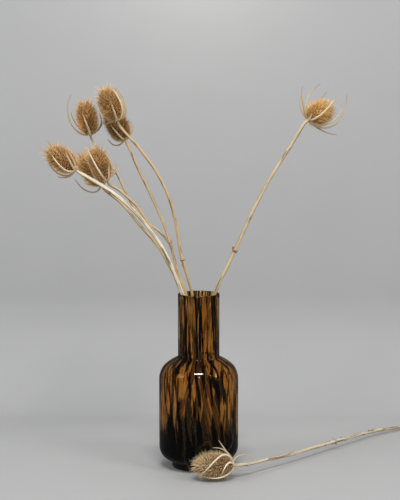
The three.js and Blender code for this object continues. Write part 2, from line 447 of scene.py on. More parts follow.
class HeadLook(Enum):
    """How a seed head has dried."""

    GOLDEN = Chaff("chaff, golden", (0.25, 0.11, 0.022), (0.93, 0.56, 0.155), (0.80, 0.66, 0.46))
    BROWN = Chaff("chaff, brown", (0.14, 0.055, 0.010), (0.63, 0.33, 0.080), (0.76, 0.57, 0.34))
    BLEACHED = Chaff("chaff, bleached", (0.24, 0.12, 0.04), (0.88, 0.62, 0.29), (0.92, 0.81, 0.61))


class BractLook(Enum):
    """How a whorl of bracts has dried."""

    STRAW = DryBract("dry bract", (0.92, 0.78, 0.51), (0.44, 0.27, 0.10), (0.34, 0.21, 0.09))
    BLEACHED = DryBract("dry bract, bleached", (0.95, 0.87, 0.69), (0.60, 0.45, 0.25), (0.52, 0.39, 0.24))


class OtherLook(Enum):
    """The finishes that are used in one way only."""

    GLASS = TortoiseshellGlass()
    PITH = Pith()
    BOARD = PaleBoard()


@dataclass
class Finishes:
    """The shelf of finishes, each wired once."""

    wired: dict[Enum, Material] = field(default_factory=dict)

    def of(self, look: Enum) -> Material:
        """Give the material of a look, wired when it is first asked for.

        Args:
            look: the look.

        Returns:
            Its material.
        """
        if look not in self.wired:
            self.wired[look] = look.value.material()
        return self.wired[look]


FINISHES = Finishes()


# ---- modelling by hand ----


def start_fresh() -> None:
    """Leave edit mode and select nothing."""
    if bpy.context.mode != "OBJECT":
        bpy.ops.object.mode_set(mode="OBJECT")
    bpy.ops.object.select_all(action="DESELECT")


def pick(piece: Piece) -> None:
    """Select one piece alone and make it the active one.

    Args:
        piece: the piece.
    """
    start_fresh()
    piece.select_set(True)
    bpy.context.view_layer.objects.active = piece


def turned(name: str, rings: Rings, sides: int) -> Piece:
    """Draw up a closed round form about +Z, one ring after another, as on a lathe.

    Args:
        name: the object's name.
        rings: the radius and height of each ring, from the first closed end to the last.
        sides: how many sides it has.

    Returns:
        The object.
    """
    start_fresh()
    radius, height = rings[0]
    bpy.ops.mesh.primitive_circle_add(
        vertices=sides, radius=radius, location=(0, 0, height), fill_type="NGON"
    )
    made = bpy.context.object
    made.name = name
    bpy.ops.object.transform_apply(location=True, rotation=True, scale=True)
    bpy.ops.object.mode_set(mode="EDIT")
    bpy.ops.mesh.select_all(action="SELECT")
    for wider, higher in rings[1:]:
        bpy.ops.mesh.extrude_region_move(TRANSFORM_OT_translate={"value": (0, 0, higher - height)})
        share = wider / radius
        bpy.ops.transform.resize(value=(share, share, 1), center_override=(0, 0, higher))
        radius, height = wider, higher
    bpy.ops.mesh.select_all(action="SELECT")
    bpy.ops.mesh.normals_make_consistent(inside=False)
    bpy.ops.object.mode_set(mode="OBJECT")
    return made


def dress(piece: Piece, look: Enum, degrees: float | None = None) -> None:
    """Give a piece its finish, and shade it smoothly.

    Args:
        piece: the piece.
        look: its finish.
        degrees: the angle past which an edge stays sharp. Without it, the piece isn't smoothed.
    """
    piece.data.materials.append(FINISHES.of(look))
    if degrees is not None:
        pick(piece)
        bpy.ops.object.shade_smooth_by_angle(angle=math.radians(degrees))


def new_piece(name: str, points: Rows, faces: Sequence[tuple[int, ...]]) -> Piece:
    """Put a mesh of points and faces in the scene.

    Args:
        name: the piece's name.
        points: its points.
        faces: the points of each face, by number.

    Returns:
        The piece.
    """
    mesh = bpy.data.meshes.new(name)
    mesh.from_pydata(points, [], faces)
    made = bpy.data.objects.new(name, mesh)
    bpy.context.collection.objects.link(made)
    return made


def points_of(mesh: bpy.types.Mesh) -> Rows:
    """Give a mesh's points.

    Args:
        mesh: the mesh.

    Returns:
        A row for each point.
    """
    found = np.empty(len(mesh.vertices) * 3)
    mesh.vertices.foreach_get("co", found)
    return found.reshape(-1, 3)


def set_points(mesh: bpy.types.Mesh, points: Rows) -> None:
    """Put a mesh's points where the rows say."""
    mesh.vertices.foreach_set("co", points.ravel())
    mesh.update()


def keep_rows(mesh: bpy.types.Mesh, name: str, rows: Rows) -> None:
    """Keep a vector for each point of a mesh, under a name."""
    kept = mesh.attributes.new(name, "FLOAT_VECTOR", "POINT")
    kept.data.foreach_set("vector", rows.astype(np.float32).ravel())


def join(name: str, parts: Sequence[Piece]) -> Piece:
    """Join parts into one piece, and press flat whatever would reach below the table.

    Args:
        name: the piece's name.
        parts: what is joined.

    Returns:
        The piece.
    """
    start_fresh()
    for part in parts:
        part.select_set(True)
    bpy.context.view_layer.objects.active = parts[0]
    if len(parts) > 1:
        bpy.ops.object.join()
    parts[0].name = name
    parts[0].data.name = name
    points = points_of(parts[0].data)
    points[:, 2] = np.maximum(points[:, 2], TABLE_GAP)
    set_points(parts[0].data, points)
    return parts[0]


def hand_over(piece: Piece, slot: str, *nodes: str) -> None:
    """Put a finished piece in the place of its CAD nodes.

    Args:
        piece: the piece.
        slot: the record's material slot for the piece; not used.
        nodes: the CAD nodes that it stands for.
    """
    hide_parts(*nodes)
    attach(piece, "root")
    log.info("%s: %d faces, for %s", piece.name, len(piece.data.polygons), ", ".join(nodes))


@dataclass
class Pattern:
    """A small form that is modelled once and copied many times into one mesh."""

    points: Rows
    faces: list[tuple[int, ...]]
    along: Rows

    @classmethod
    def from_piece(cls, piece: Piece) -> "Pattern":
        """Take a modelled piece as the pattern, and clear the piece away.

        Args:
            piece: the piece, standing on the origin along +Z.

        Returns:
            The pattern.
        """
        points = points_of(piece.data)
        faces = [tuple(face.vertices) for face in piece.data.polygons]
        bpy.data.objects.remove(piece)
        height = points[:, 2]
        return cls(points, faces, (height - height.min()) / np.ptp(height))

    def copies(self, name: str, places: Rows, grain: Callable[[Rows], Rows]) -> Piece:
        """Make one mesh with a copy at each place.

        Args:
            name: the object's name.
            places: a 4 by 4 matrix for each copy.
            grain: gives the kept vectors of all copies from the pattern's own height, as rows.

        Returns:
            The object.
        """
        flat = np.c_[self.points, np.ones(len(self.points))]
        placed = np.einsum("nij,vj->nvi", places, flat)[..., :3]
        count = len(self.points)
        faces = [tuple(i * count + v for v in face) for i in range(len(places)) for face in self.faces]
        made = new_piece(name, placed.reshape(-1, 3), faces)
        keep_rows(made.data, "grain", grain(self.along).reshape(-1, 3))
        return made


# ---- routes ----


def unit(rows: Rows) -> Rows:
    """Give vectors their own directions at length 1."""
    return rows / np.linalg.norm(rows, axis=-1, keepdims=True)


def part_way(a: Rows, b: Rows, start: float, end: float, t: Rows) -> Rows:
    """Give the points between two points, or two lines, that t reaches from start to end."""
    return ((end - t) * a + (t - start) * b) / (end - start)


def smooth_line(points: Rows, per_span: int = 24) -> Rows:
    """Draw a centripetal spline through points.

    Args:
        points: the points it goes through.
        per_span: how many steps it takes between two of them.

    Returns:
        The line's points.
    """
    ends = np.vstack([2 * points[0] - points[1], points, 2 * points[-1] - points[-2]])
    line = []
    for a, b, c, d in zip(ends, ends[1:], ends[2:], ends[3:]):
        roots = [np.linalg.norm(q - p) ** 0.5 for p, q in ((a, b), (b, c), (c, d))]
        t0, t1, t2, t3 = np.cumsum([0.0, *roots])
        t = np.linspace(t1, t2, per_span, endpoint=False)[:, None]
        before = part_way(a, b, t0, t1, t)
        middle = part_way(b, c, t1, t2, t)
        after = part_way(c, d, t2, t3, t)
        early = part_way(before, middle, t0, t2, t)
        late = part_way(middle, after, t1, t3, t)
        line.append(part_way(early, late, t1, t2, t))
    return np.vstack([*line, points[-1:]])


@dataclass
class Route:
    """A line in space with a steady frame along it, for laying straight forms on."""

    points: Rows
    side: Rows
    steps: int = 160
    length: float = 0.0

    def __post_init__(self) -> None:
        """Even out the points and carry the frame along them."""
        strides = np.linalg.norm(np.diff(self.points, axis=0), axis=1)
        reach = np.r_[0.0, np.cumsum(strides)]
        self.length = float(reach[-1])
        self.share = np.linspace(0.0, 1.0, self.steps)
        even = [np.interp(self.share * self.length, reach, column) for column in self.points.T]
        self.points = np.stack(even, axis=1)
        self.ahead = unit(np.gradient(self.points, axis=0))
        sides = []
        side = self.side
        for ahead in self.ahead:
            side = unit(side - ahead * side.dot(ahead))
            sides.append(side)
        self.sides = np.array(sides)
        self.backs = np.cross(self.ahead, self.sides)

    def at(self, share: Rows) -> tuple[Rows, Rows, Rows, Rows]:
        """Give the place and the frame at shares of the way along.

        Args:
            share: how far along, from 0 to 1.

        Returns:
            The places, and the directions to the side, to the back and ahead.
        """
        def read(rows: Rows) -> Rows:
            """Read rows at the shares."""
            return np.stack([np.interp(share, self.share, column) for column in rows.T], axis=-1)

        return read(self.points), unit(read(self.sides)), unit(read(self.backs)), unit(read(self.ahead))


def lay(name: str, pattern: Pattern, route: Route, width: Callable[[Rows], Rows]) -> Piece:
    """Lay a straight form along a route.

    Args:
        name: the object's name.
        pattern: the form, along +Z from 0 to 1, about 1 in radius.
        route: where it is laid.
        width: gives what the form's radius of 1 becomes, from the share of the way.

    Returns:
        The object.
    """
    x, y, z = pattern.points.T
    place, side, back, _ = route.at(z)
    wide = width(z)[:, None]
    points = place + side * (x[:, None] * wide) + back * (y[:, None] * wide)
    return new_piece(name, points, pattern.faces)


def frames(place: Rows, side: Rows, back: Rows, up: Rows) -> Rows:
    """Give the matrices that stand copies at places, with a direction for each of their axes.

    Args:
        place: the places, as rows.
        side: what their X becomes, with its length.
        back: what their Y becomes.
        up: what their Z becomes.

    Returns:
        A 4 by 4 matrix for each row.
    """
    made = np.zeros((len(place), 4, 4))
    for column, rows in enumerate((side, back, up, place)):
        made[:, :3, column] = rows
    made[:, 3, 3] = 1.0
    return made


# ---- forms that repeat ----


def select_points(piece: Piece, chosen: Rows) -> None:
    """Select some of a piece's points, and nothing else of it.

    Args:
        piece: the piece.
        chosen: true for each point to select.
    """
    pick(piece)
    bpy.ops.object.mode_set(mode="EDIT")
    bpy.ops.mesh.select_mode(type="VERT")
    bpy.ops.mesh.select_all(action="DESELECT")
    bpy.ops.object.mode_set(mode="OBJECT")
    for point, chose in zip(piece.data.vertices, chosen):
        point.select = bool(chose)


def resize_points(piece: Piece, chosen: Rows, share: Point) -> None:
    """Resize some of a piece's points about the origin.

    Args:
        piece: the piece.
        chosen: true for each point to resize.
        share: what 1 becomes along each axis.
    """
    select_points(piece, chosen)
    bpy.ops.object.mode_set(mode="EDIT")
    bpy.ops.transform.resize(value=share, center_override=(0, 0, 0))
    bpy.ops.object.mode_set(mode="OBJECT")


def lift_above(piece: Piece, height: float, shift: Point) -> None:
    """Move the part of a piece that is above a height.

    Args:
        piece: the piece.
        height: the height.
        shift: how far it moves.
    """
    select_points(piece, points_of(piece.data)[:, 2] > height)
    bpy.ops.object.mode_set(mode="EDIT")
    bpy.ops.transform.translate(value=shift)
    bpy.ops.object.mode_set(mode="OBJECT")


def prickle_pattern() -> Pattern:
    """Model one prickle: a three-sided thorn that leans back at its point.

    Returns:
        The pattern.
    """
    rings = [(0.00042, -0.0003), (0.0003, 0.0003), (0.00016, 0.0009), (0.00003, 0.0015)]
    thorn = turned("prickle", rings, 3)
    lift_above(thorn, 0.0006, (0.0, -0.0002, 0.0))
    lift_above(thorn, 0.0012, (0.0, -0.0003, 0.0))
    return Pattern.from_piece(thorn)


def scale_pattern() -> Pattern:
    """Model one scale of a seed head: a boat-shaped base that draws out into a stiff awn.

    Returns:
        The pattern.
    """
    rings = [
        (0.0004, 0.0), (0.00125, 0.0010), (0.00135, 0.0024), (0.00085, 0.0042), (0.00036, 0.0058),
        (0.00022, 0.0080), (0.00008, 0.0100),
    ]
    scale = turned("scale", rings, 4)
    resize_points(scale, np.full(len(scale.data.vertices), True), (1, 0.5, 1))
    for height, back in ((0.0035, 0.0003), (0.0050, 0.0004), (0.0070, 0.0007), (0.0090, 0.0010)):
        lift_above(scale, height, (0.0, -back, 0.0))
    return Pattern.from_piece(scale)


STEM_RIBS = 7
STEM_RINGS = 96
STEM_GROOVE = 0.78


def stem_pattern() -> Pattern:
    """Model a straight stem: a rod with rounded ribs and grooves, 1 in radius and 1 long.

    Returns:
        The pattern.
    """
    rod = turned("rod", [(1.0, i / STEM_RINGS) for i in range(STEM_RINGS + 1)], STEM_RIBS * 2)
    points = points_of(rod.data)
    turn = np.degrees(np.arctan2(points[:, 1], points[:, 0]))
    pitch = 360 / STEM_RIBS
    grooves = np.abs((turn % pitch) - pitch / 2) < pitch / 8
    resize_points(rod, grooves, (STEM_GROOVE, STEM_GROOVE, 1))
    return Pattern.from_piece(rod)


def knob_pattern() -> Pattern:
    """Model a stem's joint: a squat knob for a stem 1 in radius, undercut on its lower side."""
    rings = [(0.8, -1.3), (1.1, -0.85), (1.5, -0.2), (1.6, 0.4), (1.4, 0.95), (0.85, 1.4)]
    return Pattern.from_piece(turned("knob", rings, 10))


BLADE_RINGS = 30


def blade_width(along: float) -> float:
    """Give a bract blade's half width at a share of its length, from its widest of 1."""
    swell = 0.72 + 0.28 * min(along / 0.12, 1.0)
    return max(swell * (1 - along ** 2.4 * 0.76), 0.16)


def blade_pattern() -> Pattern:
    """Model a straight bract: a thin, channelled blade that narrows to a point, 1 wide and 1 long.

    Returns:
        The pattern.
    """
    rings = [(blade_width(i / BLADE_RINGS), i / BLADE_RINGS) for i in range(BLADE_RINGS + 1)]
    blade = turned("blade", rings, 8)
    points = points_of(blade.data)
    reach = np.array([blade_width(z) for z in points[:, 2]])
    resize_points(blade, points[:, 1] > reach * 0.9, (1, 0.1, 1))
    resize_points(blade, np.full(len(points), True), (1, 0.85, 1))
    return Pattern.from_piece(blade)


@dataclass
class Patterns:
    """The forms that every teasel repeats, each modelled once."""

    prickle: Pattern = field(default_factory=prickle_pattern)
    scale: Pattern = field(default_factory=scale_pattern)
    stem: Pattern = field(default_factory=stem_pattern)
    knob: Pattern = field(default_factory=knob_pattern)
    blade: Pattern = field(default_factory=blade_pattern)


# ---- the vase ----


@dataclass
class BottleVase:
    """The bottle vase: one blown wall from the solid foot to the fire-polished mouth."""

    height: float = 300.0
    neck: float = 35.5
    body: float = 68.0
    foot: float = 46.5
    foot_height: float = 11.5
    wall: float = 2.5
    corner: float = 24.0
    floor: float = 3.0
    sides: int = 128
    shoulder: tuple[tuple[float, float], ...] = (
        (68.0, 150.0), (67.4, 159.0), (62.5, 171.5), (54.0, 180.5), (43.5, 187.2), (36.4, 190.4),
    )

    def shoulder_line(self, inset: float) -> Rows:
        """Give the shoulder's half outline, from the side up to the neck.

        Args:
            inset: how far it is moved in.

        Returns:
            Rows of radius and height.
        """
        line = smooth_line(np.array(self.shoulder), 5)
        ahead = unit(np.gradient(line, axis=0))
        return line + np.c_[-ahead[:, 1], ahead[:, 0]] * inset

    def turn_under(self, radius: float, degrees: tuple[float, float], steps: int) -> Rows:
        """Give the round corner under the side.

        Args:
            radius: the corner's radius.
            degrees: where its arc starts and ends.
            steps: how many steps it takes.

        Returns:
            Rows of radius and height.
        """
        a = np.radians(np.linspace(*degrees, steps + 1))
        middle = self.body - self.corner, self.foot_height + self.corner
        return np.c_[middle[0] + radius * np.cos(a), middle[1] + radius * np.sin(a)]

    def outline(self) -> Rows:
        """Give the wall's closed half outline, from under the foot to the floor inside.

        Returns:
            Rows of radius and height, in metres.
        """
        foot = self.foot
        inner = self.corner - self.floor
        inside = self.foot_height + self.corner - inner
        half = self.wall / 2
        lip = np.radians(np.linspace(0, 180, 9))
        top = self.height - half
        rings = [
            [(foot - 2.0, 0.0), (foot - 0.7, 0.35), (foot, 1.5), (foot, self.foot_height - 3)],
            [(foot + 0.3, self.foot_height - 1.2)],
            self.turn_under(self.corner, (-80, 0), 10),
            [(self.body, z) for z in np.linspace(55, 140, 6)],
            self.shoulder_line(0.0),
            [(self.neck + 0.35, 191.3), (self.neck, 192.6)],
            [(self.neck, z) for z in np.linspace(205, top - 8, 6)],
            np.c_[self.neck - half + half * np.cos(lip), top + half * np.sin(lip)],
            [(self.neck - self.wall, z) for z in np.linspace(top - 8, 205, 6)],
            [(self.neck - self.wall, 190.0)],
            self.shoulder_line(self.wall)[::-1],
            [(self.body - self.wall, z) for z in np.linspace(140, 55, 6)],
            self.turn_under(inner, (0, -84), 10),
            [(30.0, inside), (14.0, inside + 0.6)],
        ]
        return np.vstack(rings) * MM

    def build(self) -> None:
        """Model the wall, dress it in its glass and hand it over."""
        vase = turned("glass_vase", [tuple(row) for row in self.outline()], self.sides)
        dress(vase, OtherLook.GLASS, 50)
        hand_over(vase, "tortoiseshell_glass", "vase")


# ---- the teasels ----


Bract = tuple[float, float, float, float, float, float]


@dataclass
class Teasel:
    """One teasel's sizes, in millimetres, and how it has dried.

    A bract is its turn round the head (0 at the front, 90 to the right), its length, the angles
    from the head's axis that it starts and ends at, how far it leans round the head, and its ease:
    1 where it curls evenly, less where it curls near its root and more where near its tip.
    """

    number: int
    stem: tuple[Point, ...]
    stem_radius: float
    tip: Point
    radius: float
    bracts: tuple[Bract, ...]
    joint: Point | None = None
    stub: bool = False
    stem_look: StemLook = StemLook.GOLDEN
    head_look: HeadLook = HeadLook.GOLDEN
    bract_look: BractLook = BractLook.STRAW
    shaggy: float = 1.0
    prickly: float = 1.0
    tuft: float = 0.95

    def foot(self) -> Rows:
        """Give where the head stands on its stem, in metres."""
        return np.array(self.stem[-1]) * MM

    def head_length(self) -> float:
        """Give the head's length, in metres."""
        return float(np.linalg.norm(np.array(self.tip) * MM - self.foot()))

    def axes(self) -> tuple[Rows, Rows, Rows]:
        """Give the directions of the head's own frame.

        Returns:
            To its right, to its back, and along it.
        """
        up = unit(np.array(self.tip) * MM - self.foot())
        back = unit(np.array([0.0, 1.0, 0.0]) - up * up[1])
        return np.cross(back, up), back, up

    def placed(self, local: Rows) -> Rows:
        """Give places in the head's own frame as places in the scene."""
        return self.foot() + local @ np.array(self.axes())


@dataclass
class Stem:
    """One ribbed, prickly stem from its cut end to its collar."""

    teasel: Teasel
    square_end: float = 6.0
    collar: float = 3.35
    taper: tuple[float, float] = (1.04, 0.94)
    uneven: float = 0.022
    uneven_pitches: tuple[float, ...] = (6.1, 15.7, 3.3)
    swelling: float = 0.12
    swelling_reach: float = 6.0
    prickle_pitch: float = 3.2
    prickle_sizes: tuple[float, float] = (0.7, 1.35)
    prickle_sunk: float = 0.86
    joint_prickles: int = 3
    joint_prickle_size: float = 2.6

    def route(self) -> Route:
        """Give the stem's middle line, squared up under its head.

        Returns:
            The route.
        """
        points = np.array(self.teasel.stem, dtype=float)
        _, _, up = self.teasel.axes()
        end = points[-1] - up * self.collar
        line = smooth_line(np.vstack([points[:-1], end - up * self.square_end, end]))
        return Route(line * MM, np.array([0.0, -1.0, 0.12]))

    def joints(self, route: Route) -> list[float]:
        """Give where the stem has its joints.

        Args:
            route: the stem's middle line.

        Returns:
            The share of the way of each joint.
        """
        if self.teasel.joint is None:
            return []
        joint = np.array(self.teasel.joint) * MM
        return [float(route.share[np.argmin(np.linalg.norm(route.points - joint, axis=1))])]

    def width(self, route: Route) -> Callable[[Rows], Rows]:
        """Give the stem's radius along it: a slight taper, its joints and a little unevenness.

        Args:
            route: the stem's middle line.

        Returns:
            A function from shares of the way to radii in metres.
        """
        rng = np.random.default_rng(self.teasel.number)
        waves = rng.uniform(0, 2 * math.pi, 3)
        joints = self.joints(route)

        def radius(share: Rows) -> Rows:
            """Give the radius at shares of the way.

            Args:
                share: how far along, from 0 to 1.

            Returns:
                The radii, in metres.
            """
            mm = share * route.length / MM
            waver = sum(np.sin(mm / pitch + wave) for pitch, wave in zip(self.uneven_pitches, waves))
            taper = self.taper[0] + (self.taper[1] - self.taper[0]) * share
            reach = self.swelling_reach * MM / route.length
            swell = sum(np.exp(-(((share - joint) / reach) ** 2)) for joint in joints)
            return self.teasel.stem_radius * MM * (taper + waver * self.uneven + swell * self.swelling)

        return radius

    def rod(self, patterns: Patterns, route: Route) -> Piece:
        """Lay the ribbed rod along the route, with its pith showing at the cut end.

        Args:
            patterns: the forms to copy.
            route: the stem's middle line.

        Returns:
            The rod.
        """
        rod = lay(f"rod_{self.teasel.number}", patterns.stem, route, self.width(route))
        x, y, z = patterns.stem.points.T
        metres = self.teasel.stem_radius * MM
        offset = self.teasel.number * 3.7
        keep_rows(rod.data, "grain", np.c_[x + offset, y, z * route.length / metres / 60])
        ridge = (np.hypot(x, y) - STEM_GROOVE) / (1 - STEM_GROOVE)
        _, side, back, _ = route.at(z)
        # painted top light: how much each point of the skin faces up, kept as the second part of the ridge
        # vector
        painted_top_light = (side[:, 2] * x + back[:, 2] * y) / np.hypot(x, y)
        keep_rows(rod.data, "ridge", np.c_[ridge, painted_top_light, ridge])
        dress(rod, self.teasel.stem_look, 60)
        dress(rod, OtherLook.PITH)
        cut = {i for i, height in enumerate(z) if height < 1e-6}
        for face in rod.data.polygons:
            face.material_index = int(set(face.vertices) <= cut)
        return rod

    def prickles(self, patterns: Patterns, route: Route) -> Piece:
        """Set prickles all over the stem, denser towards the head.

        Args:
            patterns: the forms to copy.
            route: the stem's middle line.

        Returns:
            The prickles.
        """
        rng = np.random.default_rng(100 + self.teasel.number)
        count = int(route.length / MM / self.prickle_pitch * self.teasel.prickly ** 2)
        share = rng.uniform(0.02, 0.995, count) ** 0.8
        place, side, back, ahead = route.at(share)
        turn = rng.uniform(0, 2 * math.pi, count)[:, None]
        out = side * np.cos(turn) + back * np.sin(turn)
        lean = unit(out - ahead * rng.uniform(0.1, 0.5, (count, 1)))
        across = unit(np.cross(lean, ahead))
        size = rng.uniform(*self.prickle_sizes, (count, 1)) * self.teasel.prickly
        root = place + out * self.width(route)(share)[:, None] * self.prickle_sunk
        for joint in self.joints(route):
            near = np.argsort(np.abs(share - joint))[: self.joint_prickles]
            size[near] *= self.joint_prickle_size
        places = frames(root, across * size, np.cross(lean, across) * size, lean * size)

        def grain(along: Rows) -> Rows:
            """Give the prickles' own grain.

            Args:
                along: the way up a prickle, at each of its points.

            Returns:
                The kept vectors of all prickles.
            """
            rows = np.zeros((count, len(along), 3))
            rows[..., 0] = share[:, None] * 9
            rows[..., 2] = along * 0.1
            return rows

        made = patterns.prickle.copies(f"prickles_{self.teasel.number}", places, grain)
        # the prickles get the ribs' colour and a small, even share of painted top light
        keep_rows(made.data, "ridge", np.tile((1.0, 0.2, 1.0), (len(made.data.vertices), 1)))
        dress(made, self.teasel.stem_look)
        return made

    def knobs(self, patterns: Patterns, route: Route) -> list[Piece]:
        """Set a knob at each joint, with painted light that makes it pale above and painted shade that
        darkens its undercut, and a broken stub beside it where the teasel has one.

        Args:
            patterns: the forms to copy.
            route: the stem's middle line.

        Returns:
            The knobs.
        """
        made = []
        for joint in self.joints(route):
            place, *axes = route.at(np.array([joint]))
            side, back, ahead = (axis * self.teasel.stem_radius * MM for axis in axes)
            places = frames(place, side, back, ahead)
            if self.teasel.stub:
                beside, leaning = place - back * 1.7 + ahead * 1.3, ahead * 1.1 - back * 0.25
                places = np.concatenate([places, frames(beside, side * 0.4, back * 0.4, leaning)])
            rise = patterns.knob.along
            grain = np.tile(np.c_[rise * 0, rise * 0 + joint * 9, rise], (len(places), 1))
            knob = patterns.knob.copies(f"knob_{self.teasel.number}", places, lambda _: grain)
            # painted light and shade: pale on the knob's top, dark in its undercut
            pale = np.tile(part_way(-1.4, 2.0, 0.25, 0.5, rise), len(places))
            keep_rows(knob.data, "ridge", np.c_[pale, pale, pale])
            dress(knob, self.teasel.stem_look, 60)
            made.append(knob)
        return made

    def build(self, patterns: Patterns) -> list[Piece]:
        """Model the stem's parts."""
        route = self.route()
        return [self.rod(patterns, route), self.prickles(patterns, route), *self.knobs(patterns, route)]


@dataclass
class SeedHead:
    """One egg-shaped seed head, set all over with scales in a golden spiral."""

    teasel: Teasel
    scales: int = 1100
    core_inset: float = 2.6
    core_sides: int = 24
    core_rings: int = 18
    gap: float = 0.35
    lean: Curve = ((0, -14), (0.15, 14), (0.5, 36), (0.8, 54), (1, 84))
    lengths: Curve = ((0, 0.72), (0.12, 0.92), (0.5, 1.0), (1, 1.05))
    widths: Curve = ((0, 0.7), (0.1, 0.78), (0.85, 0.76), (1, 0.6))
    uneven: tuple[float, float] = (0.84, 1.16)
    sunk: float = 0.96
    turn_scatter: float = 0.03
    lean_scatter: float = 0.09
    sway_scatter: float = 0.10
    tuft_start: float = 0.6
    spike_every: int = 4
    spike_width: float = 1.5

    def core_radius(self, along: Rows) -> Rows:
        """Give the core's radius, in metres, at shares of its length."""
        full = np.sin(np.pi * np.clip(along, 0, 1) ** 0.9) ** 0.5
        return full * (self.teasel.radius - self.core_inset) * MM

    def core_length(self) -> float:
        """Give the core's length, in metres."""
        return self.teasel.head_length() - (self.gap + 6.0) * MM

    def core(self) -> Piece:
        """Turn the core that the scales grow from.

        Returns:
            The core.
        """
        along = np.linspace(0.006, 0.994, self.core_rings)
        rings = [(r, z) for r, z in zip(self.core_radius(along), along * self.core_length())]
        core = turned(f"core_{self.teasel.number}", rings, self.core_sides)
        points = points_of(core.data)
        height = points[:, 2] / self.core_length()
        set_points(core.data, self.teasel.placed(points))
        # painted shade: the core under the scales takes the dark pit colour
        keep_rows(core.data, "grain", np.c_[height * 0 + 0.4, height * 0 + 0.05, height])
        dress(core, self.teasel.head_look, 60)
        return core

    def spiral(self) -> tuple[Rows, Rows]:
        """Spread the scales evenly over the core.

        Returns:
            Each scale's turn round the core, and its share of the way along it.
        """
        fine = np.linspace(0.004, 0.985, 400)
        radius = self.core_radius(fine)
        stride = np.hypot(np.gradient(radius), np.gradient(fine * self.core_length()))
        area = np.cumsum(radius * stride)
        shares = (np.arange(self.scales) + 0.5) / self.scales
        along = np.interp(shares * area[-1], area, fine)
        return np.arange(self.scales) * GOLDEN_TURN, along

    def coat(self, patterns: Patterns) -> Piece:
        """Set the scales on the core, with longer, darker spikes among them near the tip.

        Args:
            patterns: the forms to copy.

        Returns:
            The scales.
        """
        rng = np.random.default_rng(200 + self.teasel.number)
        turn, along = self.spiral()
        right, back, up = self.teasel.axes()
        shag = self.teasel.shaggy
        turn = turn + rng.normal(0, self.turn_scatter, len(turn)) * shag
        out = np.cos(turn)[:, None] * right + np.sin(turn)[:, None] * back
        place = self.teasel.foot() + out * self.core_radius(along)[:, None] * self.sunk
        place = place + up * (along * self.core_length())[:, None]
        lean = np.radians(np.interp(along, *zip(*self.lean)))
        lean = lean + rng.normal(0, self.lean_scatter, len(turn)) * shag
        around = np.cross(up, out)
        sway = rng.normal(0, self.sway_scatter, (len(turn), 1)) * shag
        ahead = unit(out * np.cos(lean)[:, None] + up * np.sin(lean)[:, None] + around * sway)
        side = unit(around - ahead * np.sum(around * ahead, axis=1, keepdims=True))
        thick = np.cross(ahead, side)
        length = np.interp(along, *zip(*self.lengths)) * rng.uniform(*self.uneven, len(turn))
        width = np.interp(along, *zip(*self.widths))
        tint = rng.uniform(0, 1, len(turn))
        spikes = (along > self.tuft_start) & (np.arange(len(turn)) % self.spike_every == 0)
        reach = (along[spikes] - self.tuft_start) / (1 - self.tuft_start)
        length[spikes] *= 1.0 + self.teasel.tuft * (0.25 + 0.75 * reach)
        width[spikes] = self.spike_width
        tint[spikes] *= 0.5
        length, width = length[:, None], width[:, None]
        places = frames(place, side * width, thick * width, ahead * length)

        def grain(height: Rows) -> Rows:
            """Give each scale's tint, the way along it, and its place along the head.

            Args:
                height: the way up a scale, at each of its points.

            Returns:
                The kept vectors of all scales.
            """
            rows = np.empty((len(tint), len(height), 3))
            rows[..., 0], rows[..., 1], rows[..., 2] = tint[:, None], height, along[:, None]
            return rows

        coat = patterns.scale.copies(f"scales_{self.teasel.number}", places, grain)
        dress(coat, self.teasel.head_look, 40)
        return coat

    def build(self, patterns: Patterns) -> None:
        """Model the head and hand it over."""
        head = join(f"teasel_head_{self.teasel.number}", [self.core(), self.coat(patterns)])
        hand_over(head, "seed_chaff", f"seed_head_{self.teasel.number}")


